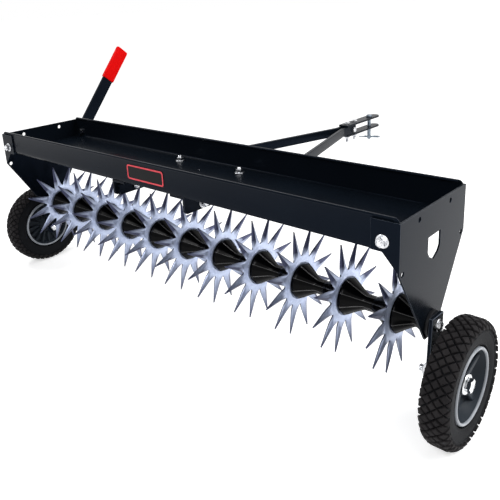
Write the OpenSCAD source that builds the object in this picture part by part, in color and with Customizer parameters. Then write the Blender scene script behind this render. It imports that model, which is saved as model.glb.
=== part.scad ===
// Tow behind spike aerator. A sheet steel weight tray hangs between two end plates, over a
// reel of star shaped tines on a cross axle. Two transport wheels hang from arms on the axle's
// ends, a hand lever turns the axle to lift or lower them, and a V drawbar ends in a clevis.
// X runs across the machine, Y towards the hitch, Z up, with the ground at Z = 0.

/* [End plates] */
// Width over the outer faces of the two end plates
frame_w = 1070; // [950:1:1200]
// Depth of an end plate, rear edge to front edge
plate_d = 211; // [205:1:225]
// Height of an end plate, top edge to foot
plate_h = 215; // [212:1:235]
// Length of the upright front and rear edges of an end plate
plate_edge = 75; // [72:1:90]
// Width of an end plate's foot
plate_foot = 36; // [32:1:60]
// Sheet thickness of the end plates
plate_t = 3; // [2:0.5:5]
// Width of the flanges bent in from an end plate
flange_w = 45; // [40:1:60]
// Width of a flange where its slanting lower edge starts
flange_slant_w = 27; // [15:1:36]
// Distance of the two accessory holes below the top edge
accessory_drop = 11; // [9:1:16]
// Spacing of the two accessory holes
accessory_pitch = 100; // [80:1:130]
// Diameter of the accessory holes
accessory_d = 8.5; // [6:0.5:10]
// Width of the five sided cut-out
cutout_w = 40; // [25:1:50]
// Height of the five sided cut-out
cutout_h = 40; // [25:1:44]
// Distance of the cut-out's upper edge below the plate's top edge
cutout_drop = 48; // [40:1:56]

/* [Weight tray] */
// Height of the tray's rim above the end plates' top edge
tray_rim = 6; // [6:1:15]
// Height of the tray, rim to underside
tray_h = 52; // [46:1:60]
// Sheet thickness of the tray
tray_t = 2; // [1.5:0.5:3]
// Radius of the hem rolled along the rim
hem_r = 2.5; // [2:0.5:3]
// Radius of the walls' upper corners
tray_corner_r = 8; // [4:1:12]
// Diameter of the drain hole in the floor
drain_d = 8; // [5:1:14]

/* [Axle and reel] */
// Distance of the axle below the end plates' top edge
axle_drop = 194.5; // [190:0.5:198]
// Diameter of the axle
axle_d = 20; // [20:1:24]
// Side of the square tenon at each end of the axle
tenon_w = 13; // [12:0.5:14]
// Distance of the outermost stars inside the end plates' outer faces
star_inset = 55; // [45:1:70]
// Diameter over the tine tips
star_tip_d = 197; // [160:1:204]
// Diameter of the flat middle of a star
star_root_d = 84; // [76:1:96]
// Width of a tine at its root
tine_root_w = 19; // [14:0.5:20]
// Height of the fold along a tine
tine_fold = 6; // [3:0.5:9]
// Sheet thickness of a star
star_t = 3; // [2:0.5:4]
// Turn of the stars from a tine straight up
star_turn = 20.5; // [0:0.5:30]
// Diameter of a spacer's flared ends
flare_d = 66; // [50:1:70]
// Diameter of a spacer's waist
waist_d = 27; // [26:1:40]

/* [Wheels] */
// Outer diameter of a tyre
tyre_d = 202; // [185:1:212]
// Width of a tyre
tyre_w = 44; // [40:1:56]
// Diameter of a wheel's rim
rim_d = 121; // [110:1:130]
// Gap between a wheel arm and its tyre
wheel_gap = 19; // [15:1:30]
// Diameter of a wheel bolt
wheel_bolt_d = 12; // [10:1:14]
// Length of a wheel arm, axle to wheel bolt
arm_len = 79.5; // [75:0.5:100]
// Rearward lean of the wheel arms when the wheels are down
arm_lean = 3; // [0:0.5:8]
// Width of a wheel arm
arm_w = 38; // [32:1:44]
// Thickness of a wheel arm
arm_t = 6; // [5:0.5:8]

/* [Lever] */
// Length of the lever, axle to tip
lever_len = 462; // [380:1:560]
// Width of the lever bar
lever_w = 32; // [28:1:40]
// Thickness of the lever bar
lever_t = 6; // [5:0.5:8]
// Length of the lever grip
grip_len = 98; // [80:1:140]
// Wall of the grip round the bar
grip_wall = 3; // [2:0.5:5]
// Distance of the lock holes from an end plate's upright edges
lock_inset = 10; // [9:0.5:14]
// Distance of the lock holes below an end plate's top edge
lock_drop = 76.5; // [66:0.5:80]
// Diameter of the lock pin
lock_d = 8; // [6:0.5:9]

/* [Drawbar and hitch] */
// Thickness of the drawbar's flat bars
bar_w = 9; // [7:0.5:12]
// Height of the drawbar's flat bars, which is also the gap between the clevis tongues
bar_h = 22; // [22:1:28]
// Distance of the bars' upper edges below the tray
bar_drop = 11; // [10.5:0.5:14]
// Distance of a bar's rear stretch from the middle plane
bar_rear_x = 97.5; // [80:0.5:120]
// Distance of the bars' rear ends ahead of the end plates' rear edges
bar_rear_y = 14; // [10:1:30]
// Distance of the bars' rear bends ahead of the end plates' rear edges
bend_rear_y = 357; // [300:1:420]
// Distance of the bars' front bends ahead of the end plates' rear edges
bend_front_y = 672; // [600:1:680]
// Distance of the bars' front ends ahead of the end plates' rear edges
bar_front_y = 733; // [725:1:800]
// Distance of the hitch pin ahead of the bars' front ends
pin_ahead = 91; // [70:1:120]
// Width of the hitch plates and their tongues
tongue_w = 28; // [26:1:40]
// Length of the tongues past the hitch pin
tongue_past_pin = 41; // [30:1:60]
// Thickness of the hitch plates
hitch_t = 5; // [4:0.5:8]
// Diameter of the hitch pin
pin_d = 10; // [9:0.5:13]
// Length of the hitch pin under its head
pin_len = 65; // [60:1:90]

/* [Fasteners] */
// Diameter of the frame and drawbar bolts
bolt_d = 8; // [6:0.5:9]

/* [Hidden] */
$fn = 48;

// How far a cut runs past the faces that it opens
overrun = 1;
// Radial clearance of a close round fit, and the gap between faces that slide past each other
run_clear = 0.08;
slide_clear = 0.3;
// Clearance of a bolt in its hole, measured on the radius
hole_clear = 0.25;

// Bolt, nut and washer proportions, as shares of the bolt's diameter
head_share = 0.65;
across_flats_share = 1.625;
nut_share = 0.8;
washer_d_share = 2.5;
washer_t_share = 0.22;
thread_out_share = 0.5;
nut_h = nut_share * bolt_d;
washer_t = washer_t_share * bolt_d;
washer_d = washer_d_share * bolt_d;
nut_reach = washer_t + nut_h + thread_out_share * bolt_d;

// Heights above the ground
wheel_z = tyre_d / 2;
axle_z = wheel_z + arm_len * cos(arm_lean);
plate_top = axle_z + axle_drop;
tray_top = plate_top + tray_rim;
tray_bottom = tray_top - tray_h;
bar_top = tray_bottom - bar_drop;
bar_bottom = bar_top - bar_h;
bar_mid_z = bar_top - bar_h / 2;

// Places along Y, measured from the end plates' rear edges
axle_y = plate_d / 2;
wheel_y = axle_y - arm_len * sin(arm_lean);
tray_rear = plate_t;
tray_front = plate_d - plate_t;
pin_y = bar_front_y + pin_ahead;
tongue_tip = pin_y + tongue_past_pin;
// The origin lies midway between the rear bolts' ends and the tips of the tongues
mid_y = (tongue_tip - nut_reach) / 2;

// Places along X, measured from the middle plane
half_w = frame_w / 2;
tray_half = half_w - plate_t;
bush_flange_t = 5;
bush_in = 12;
arm_x = half_w + bush_flange_t + slide_clear;
arm_out = arm_x + arm_t;
lever_out = arm_out + lever_t;
tyre_x = arm_out + wheel_gap;

// Frame bolts through the flanges and the tray walls
tray_bolt_inset = 26;
tray_bolt_drop = 30;
tray_bolt_x = half_w - tray_bolt_inset;
tray_bolt_z = plate_top - tray_bolt_drop;
bolt_hole_r = bolt_d / 2 + hole_clear;

// Cut-out in the end plates and drain hole in the tray
cutout_side_share = 0.6;
cutout_bulge_share = 0.36;
drain_ahead = 42;

// Drawbar bars, whose front stretches pass either side of a hitch bolt, and their brackets
bar_front_x = (bar_w + bolt_d) / 2 + hole_clear;
bar_angle = atan((bar_rear_x - bar_front_x) / (bend_front_y - bend_rear_y));
bracket_x = bar_rear_x + bar_w / 2;
bracket_t = 4;
bracket_w = 38;
bracket_r = 8;
bracket_inset = 6;
bracket_gauge = 18;
floor_bolt_x = bracket_x + bracket_t - bracket_gauge;
floor_bolt_inset = 36;
side_bolt_inset = 53;

// Hitch plates and their bolts: two down through both plates, one across both bars
hitch_behind = 43;
rear_bolt_behind = 25;
cross_bolt_behind = 13;
front_bolt_ahead = 12;
hitch_thread_out = 10;
hitch_rear_y = bar_front_y - hitch_behind;
hitch_bolt_ys = [bar_front_y - rear_bolt_behind, bar_front_y + front_bolt_ahead];
cross_bolt_y = bar_front_y - cross_bolt_behind;
pin_head_d = 17;
pin_head_h = 6;
clip_wire_d = 3;
clip_above_end = 6;
clip_len = 58;
clip_eye_r = 6;
clip_turn = 20;
pin_top_z = bar_top + hitch_t;
clip_z = pin_top_z - pin_len + clip_above_end;

// Axle, bushes and reel
axle_r = axle_d / 2;
bush_wall = 5;
bush_flange_w = 12;
bush_r = axle_r + bush_wall;
bush_flange_r = axle_r + bush_flange_w;
bush_x = tray_half - bush_in;
end_bolt_d = 8;
end_bolt_depth = 24;
star_count = 11;
tine_count = 12;
star_pitch = (frame_w - 2 * star_inset) / (star_count - 1);
star_hub_extra = 0.4;
star_hub_t = star_t + 2 * star_hub_extra;
star_edge_share = 0.45;
star_fold_r_share = 0.42;
spacer_steps = 14;
flare_power = 1.3;
waist_share = 0.5;

// Wheel arms, lever and lock; the lever leans so that its lock pin meets the front lock hole
arm_head = 16;
lock_ahead = plate_d / 2 - lock_inset;
lock_rise = axle_drop - lock_drop;
lock_reach = norm([lock_ahead, lock_rise]);
lever_lean = atan2(lock_ahead, lock_rise);
tenon_clear = 0.1;
lock_room = 2;
lock_travel = bush_flange_t + slide_clear + arm_t + plate_t + lock_room;
lock_knob_d = 20;
lock_knob_h = 12;
lever_boss_d = 38;
grip_r = 4;

// Wheels
tyre_shoulder_r = 12;
rim_t = 5;
rim_inset = 2;
web_t = 4;
hub_d = 36;
hub_sink = 13;
hub_bush_wall = 2.5;
hub_bush_r = wheel_bolt_d / 2 + hub_bush_wall;
hub_out = tyre_x + tyre_w - hub_sink;
spoke_count = 4;
spoke_w = 13;
rib_count = 16;
rib_w = 3;
rib_inset = 6;
spoke_inset = 8;
hub_washer_d = 33;
hub_washer_t = 2.5;
wheel_bolt_in = 18;

steel_black = [0.09, 0.10, 0.11];
galvanised = [0.72, 0.75, 0.84];
zinc = [0.80, 0.80, 0.82];
gloss_black = [0.04, 0.04, 0.05];
rubber_black = [0.10, 0.09, 0.09];
rim_grey = [0.38, 0.40, 0.43];
grip_red = [0.88, 0.03, 0.03];

// Sets a piece drawn from the end plates' rear edges at its place about the origin
module placed() {
    translate([0, -mid_y, 0]) children();
}

// Draws a right hand piece, or its mirror image on the left
module sided(side) {
    if (side < 0) mirror([1, 0, 0]) children();
    else children();
}

// Extrudes an outline drawn in Y and Z along X
module in_yz(x, w) {
    translate([x, 0, 0]) rotate([90, 0, 90]) linear_extrude(w) children();
}

// Extrudes an outline drawn in X and Z along Y
module in_xz(y, w) {
    translate([0, y + w, 0]) rotate([90, 0, 0]) linear_extrude(w) children();
}

// A round bar along X
module bar_x(x, len, r) {
    translate([x, 0, 0]) rotate([0, 90, 0]) cylinder(h = len, r = r);
}

// A hexagon along X, as for a nut or a bolt head
module hex_x(x, len, flats) {
    translate([x, 0, 0]) rotate([0, 90, 0]) cylinder(h = len, d = flats / cos(30), $fn = 6);
}

// A bolt up Z from the seat of its head, with a washer and a nut past what it grips
module bolt_and_nut(grip, thread_out = thread_out_share * bolt_d) {
    flats = across_flats_share * bolt_d / cos(30);
    translate([0, 0, -head_share * bolt_d]) cylinder(h = head_share * bolt_d, d = flats, $fn = 6);
    cylinder(h = grip + washer_t + nut_h + thread_out, d = bolt_d);
    translate([0, 0, grip]) cylinder(h = washer_t, d = washer_d);
    translate([0, 0, grip + washer_t]) cylinder(h = nut_h, d = flats, $fn = 6);
}

// Places of the bolts through a drawbar bracket's legs, the same distance in from front and rear
module floor_bolt_places() {
    for (side = [-1, 1], y = [floor_bolt_inset, plate_d - floor_bolt_inset])
        translate([side * floor_bolt_x, y, tray_bottom - bracket_t]) children();
}

module side_bolt_places() {
    for (y = [side_bolt_inset, plate_d - side_bolt_inset])
        translate([bracket_x - bar_w, y, bar_mid_z]) children();
}

// Wall of the tray with its two upper corners rounded
module tray_wall_outline() {
    union() {
        translate([-tray_half, tray_bottom]) square([2 * tray_half, tray_h - tray_corner_r]);
        translate([tray_corner_r - tray_half, tray_bottom])
            square([2 * (tray_half - tray_corner_r), tray_h]);
        for (side = [-1, 1])
            translate([side * (tray_half - tray_corner_r), tray_top - tray_corner_r])
                circle(r = tray_corner_r);
    }
}

// Hem rolled along a wall's rim
module tray_hem(y) {
    translate([0, y, tray_top - hem_r])
        bar_x(tray_corner_r - tray_half, 2 * (tray_half - tray_corner_r), hem_r);
}

// Holes up through the brackets and the tray's floor
module floor_bolt_holes() {
    floor_bolt_places()
        translate([0, 0, -overrun]) cylinder(h = bracket_t + tray_t + 2 * overrun, r = bolt_hole_r);
}

module tray_floor_holes() {
    floor_bolt_holes();
    translate([0, axle_y + drain_ahead, tray_bottom - overrun])
        cylinder(h = tray_t + 2 * overrun, d = drain_d);
}

module tray_wall_holes() {
    for (side = [-1, 1], y = [tray_rear, tray_front - tray_t])
        translate([side * tray_bolt_x, y - overrun, tray_bolt_z])
            rotate([-90, 0, 0]) cylinder(h = tray_t + 2 * overrun, r = bolt_hole_r);
}

module weight_tray() {
    color(steel_black) placed() difference() {
        union() {
            translate([-tray_half, tray_rear, tray_bottom])
                cube([2 * tray_half, tray_front - tray_rear, tray_t]);
            in_xz(tray_rear, tray_t) tray_wall_outline();
            in_xz(tray_front - tray_t, tray_t) tray_wall_outline();
            tray_hem(tray_rear + tray_t);
            tray_hem(tray_front - tray_t);
        }
        tray_floor_holes();
        tray_wall_holes();
    }
}

module end_plate_outline() {
    polygon([
        [0, plate_top], [plate_d, plate_top], [plate_d, plate_top - plate_edge],
        [(plate_d + plate_foot) / 2, plate_top - plate_h],
        [(plate_d - plate_foot) / 2, plate_top - plate_h], [0, plate_top - plate_edge]
    ]);
}

// Flange outline in X and Z, with the gusset that runs down to the plate's upright edge
module flange_outline() {
    polygon([
        [half_w - flange_w, plate_top], [half_w, plate_top], [half_w, plate_top - plate_edge],
        [half_w - flange_slant_w, tray_bottom], [half_w - flange_w, tray_bottom]
    ]);
}

// Five sided cut-out with a rounded point
module cutout_outline() {
    top = plate_top - cutout_drop;
    side = top - cutout_side_share * cutout_h;
    bulge = side - (1 - cutout_side_share) * cutout_h / 2;
    polygon([
        [axle_y - cutout_w / 2, top], [axle_y + cutout_w / 2, top], [axle_y + cutout_w / 2, side],
        [axle_y + cutout_bulge_share * cutout_w, bulge], [axle_y, top - cutout_h],
        [axle_y - cutout_bulge_share * cutout_w, bulge], [axle_y - cutout_w / 2, side]
    ]);
}

// Holes through an end plate: the axle bush, two accessory holes and the lever's lock holes
module end_plate_holes() {
    x = half_w - plate_t - overrun;
    w = plate_t + 2 * overrun;
    lock_r = lock_d / 2 + hole_clear;
    translate([0, axle_y, axle_z]) bar_x(x, w, bush_r + run_clear);
    for (end = [-1, 1]) {
        translate([0, axle_y + end * accessory_pitch / 2, plate_top - accessory_drop])
            bar_x(x, w, accessory_d / 2);
        translate([0, axle_y + end * lock_ahead, axle_z + lock_rise]) bar_x(x, w, lock_r);
    }
    for (y = [0, plate_d - plate_t])
        translate([tray_bolt_x, y - overrun, tray_bolt_z])
            rotate([-90, 0, 0]) cylinder(h = w, r = bolt_hole_r);
}

module end_plate(side) {
    color(steel_black) placed() sided(side) difference() {
        union() {
            in_yz(half_w - plate_t, plate_t) end_plate_outline();
            in_xz(0, plate_t) flange_outline();
            in_xz(plate_d - plate_t, plate_t) flange_outline();
        }
        end_plate_holes();
        in_yz(half_w - plate_t - overrun, plate_t + 2 * overrun) cutout_outline();
    }
}

module left_end_plate() {
    end_plate(-1);
}

module right_end_plate() {
    end_plate(1);
}

// Bolts that hold the flanges to the tray walls, heads inside and nuts outside
module tray_bolts() {
    color(zinc) placed() for (side = [-1, 1]) {
        translate([side * tray_bolt_x, tray_rear + tray_t, tray_bolt_z])
            rotate([90, 0, 0]) bolt_and_nut(tray_t + plate_t);
        translate([side * tray_bolt_x, tray_front - tray_t, tray_bolt_z])
            rotate([-90, 0, 0]) bolt_and_nut(tray_t + plate_t);
    }
}

// Flanged bush that carries the axle in an end plate
module axle_bush(side) {
    color(steel_black) placed() sided(side) translate([0, axle_y, axle_z]) difference() {
        union() {
            bar_x(bush_x, half_w - bush_x, bush_r);
            bar_x(half_w, bush_flange_t, bush_flange_r);
        }
        bar_x(bush_x - overrun, half_w + bush_flange_t - bush_x + 2 * overrun, axle_r + run_clear);
    }
}

module left_axle_bush() {
    axle_bush(-1);
}

module right_axle_bush() {
    axle_bush(1);
}

// Plan of the right hand bar: straight under the tray, bent in to the hitch, straight between its plates
module bar_plan() {
    half = bar_w / 2;
    mitre = half * tan(bar_angle / 2);
    polygon([
        [bar_rear_x + half, bar_rear_y], [bar_rear_x + half, bend_rear_y + mitre],
        [bar_front_x + half, bend_front_y + mitre], [bar_front_x + half, bar_front_y],
        [bar_front_x - half, bar_front_y], [bar_front_x - half, bend_front_y - mitre],
        [bar_rear_x - half, bend_rear_y - mitre], [bar_rear_x - half, bar_rear_y]
    ]);
}

// Flat bar of the drawbar, on edge, drilled for its side bolts and the cross bolt of the hitch
module drawbar(side) {
    color(steel_black) placed() sided(side) difference() {
        translate([0, 0, bar_bottom]) linear_extrude(bar_h) bar_plan();
        side_bolt_places() bar_x(-overrun, bar_w + 2 * overrun, bolt_hole_r);
        translate([0, cross_bolt_y, bar_mid_z]) bar_x(0, bar_front_x + bar_w, bolt_hole_r);
    }
}

module left_drawbar() {
    drawbar(-1);
}

module right_drawbar() {
    drawbar(1);
}

// Upright leg of a bracket, in Y and Z, with its two lower corners rounded
module bracket_outline() {
    len = plate_d - 2 * bracket_inset;
    union() {
        translate([bracket_inset, bar_bottom + bracket_r])
            square([len, tray_bottom - bar_bottom - bracket_r]);
        translate([bracket_inset + bracket_r, bar_bottom]) square([len - 2 * bracket_r, bracket_r]);
        for (y = [bracket_inset + bracket_r, plate_d - bracket_inset - bracket_r])
            translate([y, bar_bottom + bracket_r]) circle(r = bracket_r);
    }
}

// Angle brackets: one leg bolted up to the tray's floor, the other to a bar's outer side
module drawbar_brackets() {
    color(steel_black) placed() difference() {
        for (side = [-1, 1]) sided(side) difference() {
            union() {
                in_yz(bracket_x, bracket_t) bracket_outline();
                translate([bracket_x + bracket_t - bracket_w, bracket_inset, tray_bottom - bracket_t])
                    cube([bracket_w, plate_d - 2 * bracket_inset, bracket_t]);
            }
            side_bolt_places() bar_x(0, bar_w + bracket_t + overrun, bolt_hole_r);
        }
        floor_bolt_holes();
    }
}

// Bolts up through the brackets and the tray floor, nuts inside the tray
module drawbar_floor_bolts() {
    color(zinc) placed() floor_bolt_places() bolt_and_nut(bracket_t + tray_t);
}

// Bolts across the bars and the brackets, nuts on the outer sides
module drawbar_side_bolts() {
    color(zinc) placed() for (side = [-1, 1])
        sided(side) side_bolt_places() rotate([0, 90, 0]) bolt_and_nut(bar_w + bracket_t);
}

// Flat hitch plate on the bars, with its front end rounded as a tongue
module hitch_plate(z) {
    color(steel_black) placed() translate([0, 0, z]) difference() {
        union() {
            translate([-tongue_w / 2, hitch_rear_y, 0])
                cube([tongue_w, tongue_tip - tongue_w / 2 - hitch_rear_y, hitch_t]);
            translate([0, tongue_tip - tongue_w / 2, 0]) cylinder(h = hitch_t, d = tongue_w);
        }
        translate([0, pin_y, -overrun]) cylinder(h = hitch_t + 2 * overrun, r = pin_d / 2 + run_clear);
        for (y = hitch_bolt_ys)
            translate([0, y, -overrun]) cylinder(h = hitch_t + 2 * overrun, r = bolt_hole_r);
    }
}

module upper_hitch_plate() {
    hitch_plate(bar_top);
}

module lower_hitch_plate() {
    hitch_plate(bar_bottom - hitch_t);
}

// Bolts down through both hitch plates with nuts below, and one across both bars with its head on the right
module hitch_bolts() {
    color(zinc) placed() {
        for (y = hitch_bolt_ys)
            translate([0, y, bar_top + hitch_t])
                rotate([180, 0, 0]) bolt_and_nut(bar_h + 2 * hitch_t, hitch_thread_out);
        translate([bar_front_x + bar_w / 2, cross_bolt_y, bar_mid_z])
            rotate([0, -90, 0]) bolt_and_nut(2 * bar_front_x + bar_w);
    }
}

// Headed pin through both tongues, cross drilled for its clip
module hitch_pin() {
    color(zinc) placed() translate([0, pin_y, pin_top_z]) difference() {
        union() {
            cylinder(h = pin_head_h, d = pin_head_d);
            translate([0, 0, -pin_len]) cylinder(h = pin_len, d = pin_d);
        }
        translate([0, 0, clip_z - pin_top_z])
            rotate([0, 0, clip_turn]) bar_x(-pin_d, 2 * pin_d, clip_wire_d / 2 + run_clear);
    }
}

// Spring wire clip: a straight leg through the pin, a round eye and a leg that hugs the pin
module hitch_clip() {
    wire_r = clip_wire_d / 2;
    eye_x = clip_len / 2 - clip_eye_r;
    hug = pin_d / 2 + wire_r + slide_clear;
    color(zinc) placed() translate([0, pin_y, clip_z]) rotate([0, 0, clip_turn]) {
        bar_x(-clip_len / 2, clip_len / 2 + eye_x, wire_r);
        translate([eye_x, clip_eye_r, 0]) rotate([0, 0, -90])
            rotate_extrude(angle = 180) translate([clip_eye_r, 0]) circle(r = wire_r);
        translate([0, 2 * clip_eye_r, 0]) bar_x(hug, eye_x - hug, wire_r);
        translate([hug, hug, 0]) sphere(r = wire_r);
        translate([hug, hug, 0]) rotate([-90, 0, 0]) cylinder(h = 2 * clip_eye_r - hug, r = wire_r);
        translate([hug, 2 * clip_eye_r, 0]) sphere(r = wire_r);
        translate([0, hug, 0]) bar_x(-clip_len / 4, clip_len / 4 + hug, wire_r);
    }
}

// Round axle with a square tenon at each end for the wheel arms and the lever
module tine_axle() {
    color(zinc) placed() translate([0, axle_y, axle_z]) difference() {
        union() {
            bar_x(-arm_x, 2 * arm_x, axle_r);
            translate([-lever_out, -tenon_w / 2, -tenon_w / 2]) cube([lever_out + arm_out, tenon_w, tenon_w]);
        }
        bar_x(arm_out - end_bolt_depth, end_bolt_depth + overrun, end_bolt_d / 2);
        bar_x(-lever_out - overrun, end_bolt_depth + overrun, end_bolt_d / 2);
    }
}

// Bolt and washer in an end of the axle, from the seat outwards
module axle_end_bolt(seat) {
    flats = across_flats_share * end_bolt_d;
    thick = washer_t_share * end_bolt_d;
    bar_x(seat - end_bolt_depth + overrun, end_bolt_depth - overrun, end_bolt_d / 2 - run_clear);
    bar_x(seat, thick, washer_d_share * end_bolt_d / 2);
    hex_x(seat + thick, head_share * end_bolt_d, flats);
}

module axle_end_bolts() {
    color(zinc) placed() translate([0, axle_y, axle_z]) {
        axle_end_bolt(arm_out);
        sided(-1) axle_end_bolt(lever_out);
    }
}

// Square hole for the axle's tenon, in Y and Z about the axle
module tenon_hole() {
    square(tenon_w + 2 * tenon_clear, center = true);
}

module wheel_arm_outline() {
    difference() {
        rotate(-arm_lean) difference() {
            union() {
                translate([-arm_w / 2, -arm_len]) square([arm_w, arm_len + arm_head]);
                translate([0, -arm_len]) circle(d = arm_w);
            }
            translate([0, -arm_len]) circle(r = wheel_bolt_d / 2 + hole_clear);
        }
        tenon_hole();
    }
}

module wheel_arm(side) {
    color(steel_black) placed() sided(side) translate([0, axle_y, axle_z])
        in_yz(arm_x, arm_t) wheel_arm_outline();
}

module left_wheel_arm() {
    wheel_arm(-1);
}

module right_wheel_arm() {
    wheel_arm(1);
}

module lever_outline() {
    difference() {
        union() {
            circle(d = lever_boss_d);
            rotate(-lever_lean) translate([-lever_w / 2, 0]) square([lever_w, lever_len - grip_wall]);
        }
        tenon_hole();
        rotate(-lever_lean) translate([0, lock_reach]) circle(r = lock_d / 2 + run_clear);
    }
}

// Flat lever bar on the left end of the axle, outside the wheel arm
module transport_lever() {
    color(steel_black) placed() translate([0, axle_y, axle_z]) in_yz(-lever_out, lever_t) lever_outline();
}

// Rounded rectangle centred on the origin
module round_rect(w, h, r) {
    union() {
        square([w - 2 * r, h], center = true);
        square([w, h - 2 * r], center = true);
        for (x = [-1, 1], y = [-1, 1])
            translate([x * (w / 2 - r), y * (h / 2 - r)]) circle(r = r);
    }
}

// Dipped plastic grip, closed over the lever's tip
module lever_grip() {
    color(grip_red) placed() translate([-arm_out - lever_t / 2, axle_y, axle_z]) rotate([-lever_lean, 0, 0])
        translate([0, 0, lever_len - grip_len]) difference() {
            linear_extrude(grip_len) round_rect(lever_t + 2 * grip_wall, lever_w + 2 * grip_wall, grip_r);
            translate([-lever_t / 2, -lever_w / 2, -overrun])
                cube([lever_t, lever_w, grip_len - grip_wall + overrun]);
        }
}

// Pull pin through the lever, drawn back, that slides in to a lock hole in the left end plate
module lever_lock_pin() {
    color(zinc) placed() translate([0, axle_y, axle_z]) rotate([-lever_lean, 0, 0])
        translate([0, 0, lock_reach]) sided(-1) {
            bar_x(arm_out, lever_t + lock_travel + slide_clear, lock_d / 2);
            bar_x(lever_out + lock_travel + slide_clear, lock_knob_h, lock_knob_d / 2);
        }
}

function two_digits(i) = i < 10 ? str("0", i) : str(i);
function star_name(i) = str("tine_star_", two_digits(i));
function spacer_name(i) = str("tine_spacer_", two_digits(i));
function star_x(i) = (i - (star_count + 1) / 2) * star_pitch;

// One tine along +Y, folded along its middle, in sheet of thickness star_t about Z = 0
module tine() {
    inner = star_root_d / 2 - star_t;
    tip = star_tip_d / 2;
    bend = inner + star_fold_r_share * (tip - inner);
    root_w = tine_root_w / 2;
    edge_w = root_w * (tip - bend) / (tip - inner);
    half_t = star_t / 2;
    low = -tine_fold * star_edge_share;
    high = tine_fold + low;
    upper = [
        [-root_w, inner, 0], [0, inner, 0], [root_w, inner, 0],
        [-edge_w, bend, low], [0, bend, high], [edge_w, bend, low], [0, tip, 0]
    ];
    points = concat([for (p = upper) p + [0, 0, half_t]], [for (p = upper) p - [0, 0, half_t]]);
    polyhedron(points, [
        [0, 3, 4], [0, 4, 1], [1, 4, 5], [1, 5, 2], [3, 6, 4], [4, 6, 5],
        [7, 11, 10], [7, 8, 11], [8, 12, 11], [8, 9, 12], [10, 11, 13], [11, 12, 13],
        [0, 1, 8], [0, 8, 7], [1, 2, 9], [1, 9, 8],
        [0, 7, 10], [0, 10, 3], [3, 10, 13], [3, 13, 6],
        [2, 5, 12], [2, 12, 9], [5, 6, 13], [5, 13, 12]
    ]);
}

// Pressed steel star: a flat middle bored for the axle and a ring of folded tines
module tine_star(i) {
    color(galvanised) placed() translate([star_x(i), axle_y, axle_z]) rotate([-star_turn, 0, 0])
        rotate([90, 0, 90]) difference() {
            union() {
                translate([0, 0, -star_hub_t / 2]) cylinder(h = star_hub_t, d = star_root_d);
                for (k = [0 : tine_count - 1]) rotate([0, 0, k * 360 / tine_count]) tine();
            }
            translate([0, 0, -star_hub_t]) cylinder(h = 2 * star_hub_t, r = axle_r + run_clear);
        }
}

// Radius of a spacer at a share u of its length, waist at the middle
function spacer_r(u) =
    waist_d / 2 + (flare_d - waist_d) / 2 * pow((1 + cos(360 * u)) / 2, flare_power);

// Half or whole hour-glass profile, from share u0 to share u1 of a whole spacer of length len
module spacer_body(len, u0, u1) {
    steps = [for (k = [0 : spacer_steps]) u0 + (u1 - u0) * k / spacer_steps];
    outer = [for (u = steps) [spacer_r(u), (u - u0) / (u1 - u0) * len]];
    bore = axle_r + run_clear;
    rotate([0, 90, 0]) rotate_extrude() polygon(concat([[bore, 0]], outer, [[bore, len]]));
}

// Moulded hour-glass spacer between two stars
module tine_spacer(i) {
    len = star_pitch - star_hub_t;
    color(gloss_black) placed() translate([star_x(i) + star_hub_t / 2, axle_y, axle_z])
        spacer_body(len, 0, 1);
}

// Half spacer between an outermost star and its axle bush
module end_spacer(side) {
    start = star_x(star_count) + star_hub_t / 2;
    color(gloss_black) placed() sided(side) translate([start, axle_y, axle_z])
        spacer_body(bush_x - slide_clear - start, 0, waist_share);
}

module left_end_spacer() {
    end_spacer(-1);
}

module right_end_spacer() {
    end_spacer(1);
}

// Bolt that a wheel turns on, head and wide washer outside, thread end inside
module wheel_bolt(side) {
    flats = across_flats_share * wheel_bolt_d;
    inner = arm_x - wheel_bolt_in;
    seat = hub_out + slide_clear;
    color(zinc) placed() sided(side) translate([0, wheel_y, wheel_z]) {
        bar_x(inner, seat - inner, wheel_bolt_d / 2);
        bar_x(seat, hub_washer_t, hub_washer_d / 2);
        hex_x(seat + hub_washer_t, head_share * wheel_bolt_d, flats);
    }
}

module left_wheel_bolt() {
    wheel_bolt(-1);
}

module right_wheel_bolt() {
    wheel_bolt(1);
}

// Nuts that clamp the wheel bolts to the inner faces of the arms
module wheel_bolt_nuts() {
    flats = across_flats_share * wheel_bolt_d;
    thick = nut_share * wheel_bolt_d;
    color(zinc) placed() for (side = [-1, 1])
        sided(side) translate([0, wheel_y, wheel_z]) difference() {
            hex_x(arm_x - thick, thick, flats);
            bar_x(arm_x - thick - overrun, thick + 2 * overrun, wheel_bolt_d / 2 + run_clear);
        }
}

// Section of a tyre: radius along X, width along Y
module tyre_section() {
    inner = rim_d / 2;
    outer = tyre_d / 2;
    shoulder = outer - tyre_shoulder_r;
    union() {
        translate([inner, 0]) square([shoulder - inner, tyre_w]);
        translate([inner, tyre_shoulder_r]) square([outer - inner, tyre_w - 2 * tyre_shoulder_r]);
        for (y = [tyre_shoulder_r, tyre_w - tyre_shoulder_r])
            translate([shoulder, y]) circle(r = tyre_shoulder_r);
    }
}

module tyre(side) {
    color(rubber_black) placed() sided(side) translate([tyre_x, wheel_y, wheel_z])
        rotate([0, 90, 0]) rotate_extrude() tyre_section();
}

module left_tyre() {
    tyre(-1);
}

module right_tyre() {
    tyre(1);
}

// Section of a rim without its spokes: barrel, web and hub, radius along X, width along Y
module rim_section() {
    barrel_w = tyre_w - 2 * rim_inset;
    hub_in = slide_clear - wheel_gap;
    web_y = (tyre_w - web_t) / 2;
    union() {
        translate([rim_d / 2 - rim_t, rim_inset]) square([rim_t, barrel_w]);
        translate([hub_bush_r, web_y]) square([rim_d / 2 - rim_t / 2 - hub_bush_r, web_t]);
        translate([hub_bush_r, hub_in]) square([hub_d / 2 - hub_bush_r, tyre_w - hub_sink - hub_in]);
    }
}

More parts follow.
